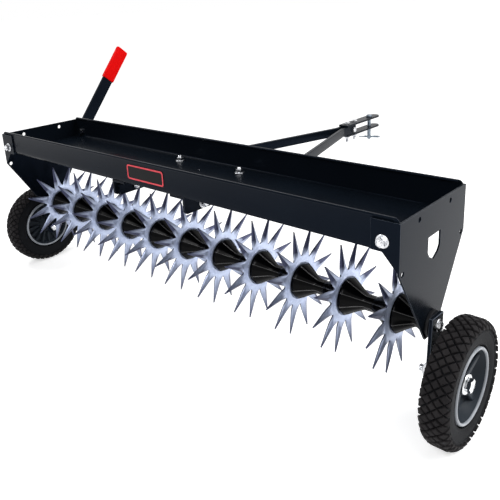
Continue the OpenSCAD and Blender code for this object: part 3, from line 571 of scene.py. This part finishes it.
# From bore to tip: radius, half width (none on the whole middle), height of the ridge, lift of the bead
tine_stations = [(BORE_R, None, 0, 0), (32.6, None, 0, 0), (34.2, None, 0, 2.2), (37, None, 0, 2.6),
                 (42, None, 0, 0.6), (VALLEY_R, None, 0, 0), (46.5, 9.6, 0.3, 0), (50, 8.8, 1.6, 0),
                 (56, 7.8, 3.7, 0), (66, 6.1, 3.4, 0), (78, 4.0, 2.4, 0), (89, 2.0, 1.2, 0),
                 (TIP_R, 0.4, 0.3, 0)]
# Share of the half width where the fold's crest runs, and share of the ridge above the sheet's plane
CREST, CREST_UP = -0.1, 0.55
ACROSS = (-1, -0.55, CREST, 0.45, 1)
star_points, star_faces = [], []
for tine in range(TINES):
    base = len(star_points)
    turn = 2 * pi * tine / TINES
    for r, half_w, ridge, lift in tine_stations:
        for t in ACROSS:
            if half_w is None:
                a = turn + t * pi / TINES
                y, z = r * sin(a), r * cos(a)
            else:
                y = r * sin(turn) + t * half_w * cos(turn)
                z = r * cos(turn) - t * half_w * sin(turn)
            off_crest = (t - CREST) / (1 - CREST) if t > CREST else (CREST - t) / (1 + CREST)
            star_points.append((lift + ridge * (CREST_UP - off_crest), y, z))
    span = len(ACROSS)
    for row in range(len(tine_stations) - 1):
        for k in range(span - 1):
            a = base + row * span + k
            star_faces.append((a, a + 1, a + span + 1, a + span))


def galvanised(name, full_dark_r, tip):
    """Hot dip galvanised sheet: pale blue zinc in crystals of differing tone, darker towards the tips."""
    material, shader, place = start_material(name, {"Metallic": 0.6})
    off_axle = add_node(material, "ShaderNodeVectorMath", {"operation": "SUBTRACT"},
                        {1: (0, axle_y * MM, axle_z * MM)}, {0: place})
    across = add_node(material, "ShaderNodeVectorMath", {"operation": "MULTIPLY"}, {1: (0, 1, 1)},
                      {0: off_axle.outputs["Vector"]})
    reach = add_node(material, "ShaderNodeVectorMath", {"operation": "LENGTH"},
                     links={0: across.outputs["Vector"]})
    tip_ramp = add_node(material, "ShaderNodeMapRange",
                    inputs={"From Min": VALLEY_R * MM, "From Max": full_dark_r * MM},
                    links={"Value": reach.outputs["Value"]})
    # Zinc crystals, about 7 mm across, and clouds of about 30 mm
    crystal = add_node(material, "ShaderNodeTexVoronoi", inputs={"Scale": 1 / (7 * MM)},
                       links={"Vector": place})
    cloud = add_node(material, "ShaderNodeTexNoise", inputs={"Scale": 1 / (30 * MM), "Detail": 4},
                     links={"Vector": place})
    grey = add_node(material, "ShaderNodeRGBToBW", links={"Color": crystal.outputs["Color"]})
    mixed = add_node(material, "ShaderNodeMath", {"operation": "MULTIPLY_ADD"}, {1: 0.5},
                     {0: grey.outputs["Val"], 2: cloud.outputs["Fac"]})
    skin_tone = add_node(material, "ShaderNodeMix", {"data_type": "RGBA"},
                         {6: linear("#a6b3d4"), 7: linear("#d6e1fa")}, {0: mixed.outputs["Value"]})
    tone = add_node(material, "ShaderNodeMix", {"data_type": "RGBA"}, {7: linear(tip)},
                    {0: tip_ramp.outputs["Result"], 6: skin_tone.outputs[2]})
    gloss = add_node(material, "ShaderNodeMapRange", inputs={"To Min": 0.3, "To Max": 0.45},
                     links={"Value": mixed.outputs["Value"]})
    feed(material, shader, {"Base Color": tone.outputs[2], "Roughness": gloss.outputs["Result"]})
    return material


def cut_edge_tone(name):
    """The sheet's cut edges: dark slate, streaked where the press tool drags through them."""
    material, shader, place = start_material(name, {"Metallic": 0.5, "Roughness": 0.45})
    # The streaks are under 1 mm wide; drawn at 3 mm so that they show
    streak = add_node(material, "ShaderNodeTexNoise", inputs={"Scale": 1 / (3 * MM), "Detail": 2},
                      links={"Vector": place})
    tone = add_node(material, "ShaderNodeMix", {"data_type": "RGBA"},
                    {6: linear("#23263a"), 7: linear("#4a506c")}, {0: streak.outputs["Fac"]})
    feed(material, shader, {"Base Color": tone.outputs[2]})
    return material


zinc_sheet = galvanised("hot_dip_galvanised_sheet", 92, "#454a64")
# One flank of each fold is drawn dark from near its root: painted shade, for the side of each tine turned
# from the light
shaded_flank_zinc = galvanised("galvanised_painted_shade_flank", 60, "#3a3e58")
cut_edge = cut_edge_tone("dark_slate_cut_edge")
for number in range(1, STARS + 1):
    node = f"tine_star_{number:02d}"
    star_x = (number - (STARS + 1) / 2) * STAR_PITCH
    at_star = set_at((star_x, axle_y, axle_z), -STAR_TURN, "X")
    star_mesh = make_mesh(node, [(star_points, star_faces, at_star)], sharp_deg=30, weld_mm=STAR_WELD)
    star = add_piece(node + "_finished", star_mesh, zinc_sheet, "reel", "galvanised_steel", node)
    star_mesh.materials.append(cut_edge)
    star_mesh.materials.append(shaded_flank_zinc)
    for face in star_mesh.polygons:
        spot = at_star.inverted() @ (face.center / MM)
        side_angle = (atan2(spot.y, spot.z) + pi / TINES) % (2 * pi / TINES) - pi / TINES
        reach = (spot.y ** 2 + spot.z ** 2) ** 0.5
        # Faces on one flank of each tine take the painted shade material
        if reach > FLANK_R and reach * sin(side_angle) < CREST * TAPER * (TIP_R - reach):
            face.material_index = 2
    thick = star.modifiers.new("sheet_thickness", "SOLIDIFY")
    thick.thickness = STAR_T * MM
    thick.offset = 0
    thick.material_offset_rim = 1


# Tine spacers
# Hour-glass spacers that keep the stars apart on the axle, with thin ribs down their cones.
# They are moulded in glossy black polypropylene and slid on between the stars.
WAIST_R, FLARE_R, LIP_DROP, CONE_BOW = 12.6, 32, 1.6, 1.12
# Shares of half a spacer, from its waist: where the cone starts, how far it runs and how long the lip is
CONE_START, CONE_RUN, LIP_RUN = 0.16, 0.72, 0.1
RIBS, RIB_W, RIB_H, RIB_TURN, RIB_STEPS = 8, 2.2, 1.4, 0.3, 6
RING_POINTS, SPACER_STEPS = 64, 26


def spacer_radius(u):
    """Radius at a share of a whole spacer's length: rounded lips, straight cones and a narrow waist."""
    d = abs(2 * u - 1)
    cone = min(1, max(0, (d - CONE_START) / CONE_RUN))
    lip = max(0, (d - 1 + LIP_RUN) / LIP_RUN)
    return WAIST_R + (FLARE_R - WAIST_R) * cone ** CONE_BOW - LIP_DROP * lip * lip


def spacer_rings(start, end, u1):
    """Rings of a spacer along X, with its bore, from its first lip to share u1 of a whole spacer."""
    turn = [2 * pi * k / RING_POINTS for k in range(RING_POINTS)]
    profile = [(start + (end - start) * i / SPACER_STEPS, spacer_radius(u1 * i / SPACER_STEPS))
               for i in range(SPACER_STEPS + 1)]
    profile += [(end, BORE_R), (start, BORE_R)]
    return [[(x, r * cos(a), r * sin(a)) for a in turn] for x, r in profile]


def spacer_ribs(start, end, u1):
    """Round topped ribs down the same length, set evenly round it."""
    arch = [pi * k / RIB_STEPS for k in range(RIB_STEPS + 1)]
    section = [(-RIB_W / 2 * cos(a), RIB_H * sin(a)) for a in arch]
    ribs = []
    for rib in range(RIBS):
        turn = 2 * pi * (rib + RIB_TURN) / RIBS
        rings = []
        for i in range(1, SPACER_STEPS):
            x = start + (end - start) * i / SPACER_STEPS
            foot = spacer_radius(u1 * i / SPACER_STEPS) - RIB_H / 3
            rings.append([(x, (foot + h) * cos(turn) - v * sin(turn), (foot + h) * sin(turn) + v * cos(turn))
                          for v, h in section])
        ribs.append(skin(rings))
    return ribs


cone_black = moulded_plastic("polypropylene_gloss_black", "#030304", 0.2, 6.0, 0.03, 0.06)
rib_black = moulded_plastic("polypropylene_polished_ribs", "#0a090b", 0.22, 6.0, 0.03)
on_axle = Matrix.Translation((0, axle_y, axle_z))
spacer_names = [f"tine_spacer_{number:02d}" for number in range(1, STARS)]
for node in spacer_names + ["left_end_spacer", "right_end_spacer"]:
    low, high = box_mm(node)
    # The end spacers are halves, with the lip against the star and the waist against the bush
    start, end = (high.x, low.x) if node == "left_end_spacer" else (low.x, high.x)
    share = 1 if node in spacer_names else 0.5
    cone_parts = [(*skin(spacer_rings(start, end, share), loop=True), on_axle)]
    draw_node(node, cone_parts, cone_black, "reel", "gloss_black_plastic", sharp_deg=40)
    ribs = [(*rib, on_axle) for rib in spacer_ribs(start, end, share)]
    rib_mesh = make_mesh(node + "_ribs", ribs, sharp_deg=60)
    add_piece(node + "_ribs", rib_mesh, rib_black, "reel", "gloss_black_plastic")


# Wheel bolts, nuts and hub bushes
# Each wheel turns on a bright plated 12 mm bolt, with a wide washer and hexagon head outside.
# A zinc plated nut clamps it to the arm, and a turned and blacked bush lines the hub.
WHEEL_BOLT_D, WHEEL_PITCH, WHEEL_THREAD, WHEEL_SHANK_IN = 12, 1.75, 0.7, 3
HUB_WASHER_D, HUB_WASHER_T, HUB_WASHER_POINTS, HUB_BUSH_EDGE_R = 33, 2.5, 48, 0.3
tyre_low, tyre_high = box_mm("right_tyre")
wheel_y, wheel_z, wheel_x = ((tyre_low + tyre_high) / 2).yzx
bright_nickel = zinc_plate("bright_nickel_plate", "#a9abaf", "#eef0f2", 0.14)
arm_face = box_mm("right_wheel_arm")[0].x
wheel_bolt_r, hub_washer_r = WHEEL_BOLT_D / 2, HUB_WASHER_D / 2
SIDES = (("left", -1), ("right", 1))
nut_parts = []
for name, side in SIDES:
    bolt_low, bolt_high = box_mm(name + "_wheel_bolt")
    inner, outer = (bolt_low.x, bolt_high.x) if side > 0 else (-bolt_high.x, -bolt_low.x)
    head = HEAD * WHEEL_BOLT_D
    seat = outer - head - HUB_WASHER_T
    out = set_at((0, wheel_y, wheel_z), 90 * side, "Y")
    thread = threaded(WHEEL_BOLT_D, -arm_face, -inner, WHEEL_PITCH, WHEEL_THREAD)
    shank = [(r, -z) for r, z in reversed(thread)] + [(wheel_bolt_r, seat + WHEEL_SHANK_IN)]
    dish = [(wheel_bolt_r, seat), (hub_washer_r - 3, seat), (hub_washer_r, seat + 0.4),
            (hub_washer_r, seat + 1.2), (hub_washer_r - 1, seat + HUB_WASHER_T),
            (wheel_bolt_r, seat + HUB_WASHER_T)]
    bolt_parts = [(*skin(turned(shank)), out),
                  (*skin(turned(dish, HUB_WASHER_POINTS), loop=True), out),
                  (*skin(hexagon(FLATS * WHEEL_BOLT_D, outer - head, outer)), out)]
    draw_node(name + "_wheel_bolt", bolt_parts, bright_nickel, "transport", "bright_plated_steel")
    nut_parts.append((*skin(hexagon(FLATS * WHEEL_BOLT_D, arm_face - NUT * WHEEL_BOLT_D, arm_face)), out))
    soften(name + "_hub_bush", name + "_wheel", oxide, "black_oxide_steel", HUB_BUSH_EDGE_R)
draw_node("wheel_bolt_nuts", nut_parts, zinc, "transport", "zinc_plated_steel")


# Wheel rims
# One piece moulded centres: a dished web with four spokes outside and fine ribs inside, round a long hub.
# Grey plastic, with the lip on each side drawn paler.
RIM_R, HUB_R, HUB_BORE, HUB_IN, HUB_OUT, RIM_POINTS = 60.3, 18, 8.5, -40.7, 9, 72
web_profile = [(HUB_BORE, HUB_OUT), (16.8, HUB_OUT), (HUB_R, HUB_OUT - 1.2), (19, 2), (22, -1), (40, -1.5),
               (46.5, 1), (49.5, 6), (55.0, 16.5), (55.2, 17.5), (59, 17.5), (RIM_R, 15), (RIM_R, -16),
               (59, -19), (57, -20), (54.5, -19), (52.8, -16), (50.5, -6.5), (26, -5.5), (20, -8),
               (HUB_R, HUB_IN + 1), (16.8, HUB_IN), (HUB_BORE, HUB_IN)]
lip_profile = [(55.2, 16.4), (55.4, 19.2), (56.2, 20.4), (57.6, 20.9), (59.2, 20.3), (RIM_R, 18.6),
               (RIM_R, 14.6), (57, 14.6)]
SPOKES, SPOKE_TURN, INNER_RIBS = 4, 35, 16
# Radius of the root and end, foot, top at root and end, width at root and end, and edge
SPOKE = (17, 51, -3, 7.2, 11.5, 12, 9.5, 1.6)
INNER_RIB = (17.5, 52.5, -3, -13, -16.5, 2.6, 2.6, 0.5)


def radial_bar(turn, r0, r1, base, top0, top1, w0, w1, edge):
    """A tapered bar out from the hub, with its top edges rounded off."""
    rings = []
    for r, top, w in ((r0, top0, w0), (r1, top1, w1)):
        way = 1 if top > base else -1
        section = [(-w / 2, base), (-w / 2, top - way * edge), (-w / 2 + edge, top), (w / 2 - edge, top),
                   (w / 2, top - way * edge), (w / 2, base)]
        rings.append([(r * cos(turn) - v * sin(turn), r * sin(turn) + v * cos(turn), z) for v, z in section])
    return skin(rings)


rim_grey = moulded_plastic("polypropylene_grey", "#2a3037", 0.4, 2.5, 0.08, 0.1)
pale_lip = moulded_plastic("pale_grey_lip", "#92979e", 0.3, 1.5, 0.05)
for name, side in SIDES:
    # Z runs out of the wheel's outer side; X is then down on the right and up on the left
    out = set_at((side * wheel_x, wheel_y, wheel_z), 90 * side, "Y")
    rim_parts = [(*skin(turned(web_profile, RIM_POINTS), loop=True), out)]
    for k in range(SPOKES):
        rim_parts.append((*radial_bar(pi + radians(SPOKE_TURN + 360 / SPOKES * k), *SPOKE), out))
    for k in range(INNER_RIBS):
        rim_parts.append((*radial_bar(2 * pi * k / INNER_RIBS, *INNER_RIB), out))
    body = name + "_wheel"
    draw_node(name + "_rim", rim_parts, rim_grey, body, "grey_plastic")
    lip = skin(turned(lip_profile, RIM_POINTS), loop=True)
    lip_parts = [(*lip, out), (*lip, out @ Matrix.Rotation(pi, 4, "X"))]
    lip_mesh = make_mesh(name + "_rim_lips", lip_parts, sharp_deg=60)
    add_piece(name + "_rim_lips", lip_mesh, pale_lip, body, "grey_plastic")


# Tyres
# Solid tyres, 202 mm across, with rows of diamond shaped tread blocks that wrap over the shoulders.
# Each is moulded in rubber in one piece and pressed over its rim.
TYRE_R, TREAD_DEPTH, CROWN, SHOULDER_R, SHOULDER_STEPS, TYRE_POINTS = 100.9, 4.6, 11.0, 9.5, 8, 96
OUTER_ROW, TREAD_COUNT, ROW_STEP = 3, 40, 7.9
OUTER_CUT, SHOULDER_DROP, UNEVEN = 0.35, 0.16, 0.09
carcass_r = TYRE_R - TREAD_DEPTH
side_x = CROWN + SHOULDER_R
carcass = [(60.4, 13), (62.6, 14), (63.6, 19), (64.5, 19.6), (66, 19.2), (67.5, 19.8), (78, side_x),
           (82.5, side_x + 0.3), (83, side_x + 1), (84.6, side_x + 1), (85.2, side_x + 0.2)]
for k in range(SHOULDER_STEPS + 1):
    a = radians(90 - 90 * k / SHOULDER_STEPS)
    carcass.append((carcass_r - SHOULDER_R * (1 - cos(a)), CROWN + SHOULDER_R * sin(a)))
carcass += [(r, -z) for r, z in reversed(carcass)]


def on_tread(turn, across, lift):
    """A point over the tyre's face: turn round the wheel, way across it and height over the carcass."""
    bend = max(0, abs(across) - CROWN) / SHOULDER_R
    x = min(abs(across), CROWN) + (SHOULDER_R + lift) * sin(bend)
    r = carcass_r - SHOULDER_R + (SHOULDER_R + lift) * cos(bend)
    return (r * cos(turn), r * sin(turn), x if across >= 0 else -x)


tread_step = 2 * pi / TREAD_COUNT
blocks = []
for row in range(-OUTER_ROW, OUTER_ROW + 1):
    middle = row * ROW_STEP
    for k in range(TREAD_COUNT):
        turn = (k + 0.5 * (row % 2)) * tread_step
        # Diamond corners and the middles of its edges; the outermost rows are cut off square
        far = OUTER_CUT if abs(row) == OUTER_ROW else 1.0
        ends = [(0.5, 0), (0, far if row > 0 else 1.0), (-0.5, 0), (0, -far if row < 0 else -1.0)]
        outline = []
        for i in range(4):
            (a0, b0), (a1, b1) = ends[i], ends[(i + 1) % 4]
            outline += [(a0, b0), ((a0 + a1) / 2, (b0 + b1) / 2)]
        height = TREAD_DEPTH * (1 - SHOULDER_DROP * max(0, abs(row) - 1))
        # Blocks differ a little in size
        uneven = 1 + UNEVEN * sin(2.4 * k + 1.7 * row)
        rings = []
        # Share of the diamond and height over the carcass at a block's foot, shoulder and top
        for share, lift in ((0.86, -1.0), (0.8, height * 0.72), (0.64, height)):
            size = share * uneven
            rings.append([on_tread(turn + u * size * tread_step, middle + v * size * ROW_STEP, lift)
                          for u, v in outline])
        points, faces = skin(rings, caps=False)
        points.append(on_tread(turn, middle, height))
        sides, top = len(outline), 2 * len(outline)
        faces += [(top + i, top + (i + 1) % sides, len(points) - 1) for i in range(sides)]
        faces.append(tuple(reversed(range(sides))))
        blocks.append((points, faces))


def vulcanised_rubber(name, clean, dusty):
    """Vulcanised rubber: nearly black and matt, with a fine mould grain and dusty 25 mm patches."""
    material, shader, place = start_material(name, {"IOR": 1.5, "Specular IOR Level": 0.08})
    dust = add_node(material, "ShaderNodeTexNoise", inputs={"Scale": 1 / (25 * MM), "Detail": 5},
                    links={"Vector": place})
    tone = add_node(material, "ShaderNodeMix", {"data_type": "RGBA"}, {6: linear(clean), 7: linear(dusty)},
                    {0: dust.outputs["Fac"]})
    # The mould's grain is under 1 mm; drawn at 2 mm so that it shows
    grain = add_node(material, "ShaderNodeTexNoise", inputs={"Scale": 1 / (2 * MM), "Detail": 2},
                     links={"Vector": place})
    gloss = add_node(material, "ShaderNodeMapRange", inputs={"To Min": 0.55, "To Max": 0.8},
                     links={"Value": grain.outputs["Fac"]})
    bump = add_node(material, "ShaderNodeBump", inputs={"Strength": 0.2, "Distance": 0.4 * MM},
                    links={"Height": grain.outputs["Fac"]})
    feed(material, shader, {"Base Color": tone.outputs[2], "Roughness": gloss.outputs["Result"],
                            "Normal": bump.outputs["Normal"]})
    return material


side_rubber = vulcanised_rubber("vulcanised_rubber", "#08090b", "#15161a")
# The blocks are drawn paler and browner than the sides: a painted highlight on the tread
painted_highlight_tread = vulcanised_rubber("painted_highlight_rubber", "#111012", "#2b292a")
for name, side in SIDES:
    out = set_at((side * wheel_x, wheel_y, wheel_z), 90 * side, "Y")
    carcass_skin = skin(turned(carcass, TYRE_POINTS), loop=True)
    tyre_parts = [(*part, out) for part in [carcass_skin] + blocks]
    tyre = draw_node(name + "_tyre", tyre_parts, side_rubber, name + "_wheel", "tyre_rubber", sharp_deg=30)
    tyre.data.materials.append(painted_highlight_tread)
    for face in tyre.data.polygons[len(carcass_skin[1]):]:
        face.material_index = 1


# Studio
# A plain pale floor under soft lamps, and a camera where the photograph was taken from.
# The floor is painted board, level with the ground that the wheels stand on.
FLOOR_HALF, FLOOR_LIFT = 30, 0.52
floor_mesh = bpy.data.meshes.new("floor")
floor_corners = [(x * FLOOR_HALF, y * FLOOR_HALF, 0) for x, y in ((-1, -1), (1, -1), (1, 1), (-1, 1))]
floor_mesh.from_pydata(floor_corners, [], [(0, 1, 2, 3)])
floor = bpy.data.objects.new("floor", floor_mesh)
bpy.context.scene.collection.objects.link(floor)


def seen_straight(shading):
    """Output that is one where the camera looks, straight, in a reflection or through something."""
    path = add_node(shading, "ShaderNodeLightPath")
    seen = path.outputs["Is Camera Ray"]
    for ray in ("Is Glossy Ray", "Is Transmission Ray"):
        either = add_node(shading, "ShaderNodeMath", {"operation": "MAXIMUM"},
                          links={0: seen, 1: path.outputs[ray]})
        seen = either.outputs["Value"]
    return seen


# White studio paint: pale and matt, lifted to white where it is looked at
paint = bpy.data.materials.new("white_floor_paint")
paint.use_nodes = True
paint.node_tree.nodes.clear()
matt = add_node(paint, "ShaderNodeBsdfDiffuse", inputs={"Color": linear("#f4f4f4")})
lift = add_node(paint, "ShaderNodeMath", {"operation": "MULTIPLY"}, {1: FLOOR_LIFT},
                {0: seen_straight(paint)})
glow = add_node(paint, "ShaderNodeEmission", links={"Strength": lift.outputs["Value"]})
both = add_node(paint, "ShaderNodeAddShader", links={0: matt.outputs["BSDF"], 1: glow.outputs["Emission"]})
add_node(paint, "ShaderNodeOutputMaterial", links={"Surface": both.outputs["Shader"]})
floor_mesh.materials.append(paint)

# The world is white to look at and lights the object only a little
WORLD_LIGHT, WORLD_WHITE = 0.25, 1.0
world = bpy.data.worlds.new("studio")
bpy.context.scene.world = world
world.use_nodes = True
world.node_tree.nodes.clear()
strength = add_node(world, "ShaderNodeMapRange", inputs={"To Min": WORLD_LIGHT, "To Max": WORLD_WHITE},
                    links={"Value": seen_straight(world)})
sky = add_node(world, "ShaderNodeBackground", inputs={"Color": linear("#ffffff")},
               links={"Strength": strength.outputs["Result"]})
add_node(world, "ShaderNodeOutputWorld", links={"Surface": sky.outputs["Background"]})

# A soft overhead light, a softbox up on each side and a small lamp over the camera
OVERHEAD_LIGHT, OVERHEAD_SPREAD = 1.1, 60
OVERHEAD_FROM, SOFTBOX_AIM = Vector((0.9, 0.4, 3)), Vector((0.2, -0.2, 0.25))
# Place and size in metres, and power in watts
softboxes = [("side_softbox", (2.2, 0.8, 1.6), 1.6, 45), ("camera_lamp", (0.6, -2.0, 1.6), 0.7, 16),
             ("left_softbox", (-1.7, -0.9, 2.0), 0.7, 16)]
overhead = bpy.data.lights.new("overhead_light", "SUN")
overhead.energy = OVERHEAD_LIGHT
overhead.angle = radians(OVERHEAD_SPREAD)
lamps = [(overhead, OVERHEAD_FROM, Vector((0, 0, 0)))]
for name, place, size, watts in softboxes:
    softbox = bpy.data.lights.new(name, "AREA")
    softbox.size = size
    softbox.energy = watts
    lamps.append((softbox, Vector(place), SOFTBOX_AIM))
for lamp, place, aim in lamps:
    lamp_object = bpy.data.objects.new(lamp.name, lamp)
    lamp_object.location = place
    lamp_object.rotation_mode = "QUATERNION"
    lamp_object.rotation_quaternion = (aim - place).to_track_quat("-Z", "Y")
    lamp_object.visible_camera = False
    bpy.context.scene.collection.objects.link(lamp_object)

# Camera fitted to the photograph: degrees, pixels, and millimetres from the end plates' rear top edge
AZIMUTH, ELEVATION, ROLL = 42.115, 16.922, -2.753
FOCAL_PX, IMAGE_PX, AXIS_ROW, SENSOR_MM = 605.288, 500, 180, 36
CAMERA_FROM_PLATE = Vector((885.629, -677.082, 294.917))
a, e = radians(AZIMUTH), radians(ELEVATION)
back = Vector((sin(a) * cos(e), -cos(a) * cos(e), sin(e)))
right = Vector((cos(a), sin(a), 0))
up = back.cross(right)
c, s = cos(radians(ROLL)), sin(radians(ROLL))
right, up = c * right + s * up, -s * right + c * up
camera = bpy.data.cameras.new("photo_camera")
camera.sensor_width = SENSOR_MM
camera.lens = FOCAL_PX / IMAGE_PX * camera.sensor_width
camera.shift_y = (AXIS_ROW - IMAGE_PX / 2) / IMAGE_PX
camera_object = bpy.data.objects.new("photo_camera", camera)
camera_object.matrix_world = Matrix((
    (right.x, up.x, back.x, CAMERA_FROM_PLATE.x * MM),
    (right.y, up.y, back.y, (CAMERA_FROM_PLATE.y + plate_low.y) * MM),
    (right.z, up.z, back.z, (CAMERA_FROM_PLATE.z + plate_high.z) * MM),
    (0, 0, 0, 1)))
bpy.context.scene.collection.objects.link(camera_object)
bpy.context.scene.camera = camera_object
bpy.context.scene.view_settings.view_transform = "Standard"
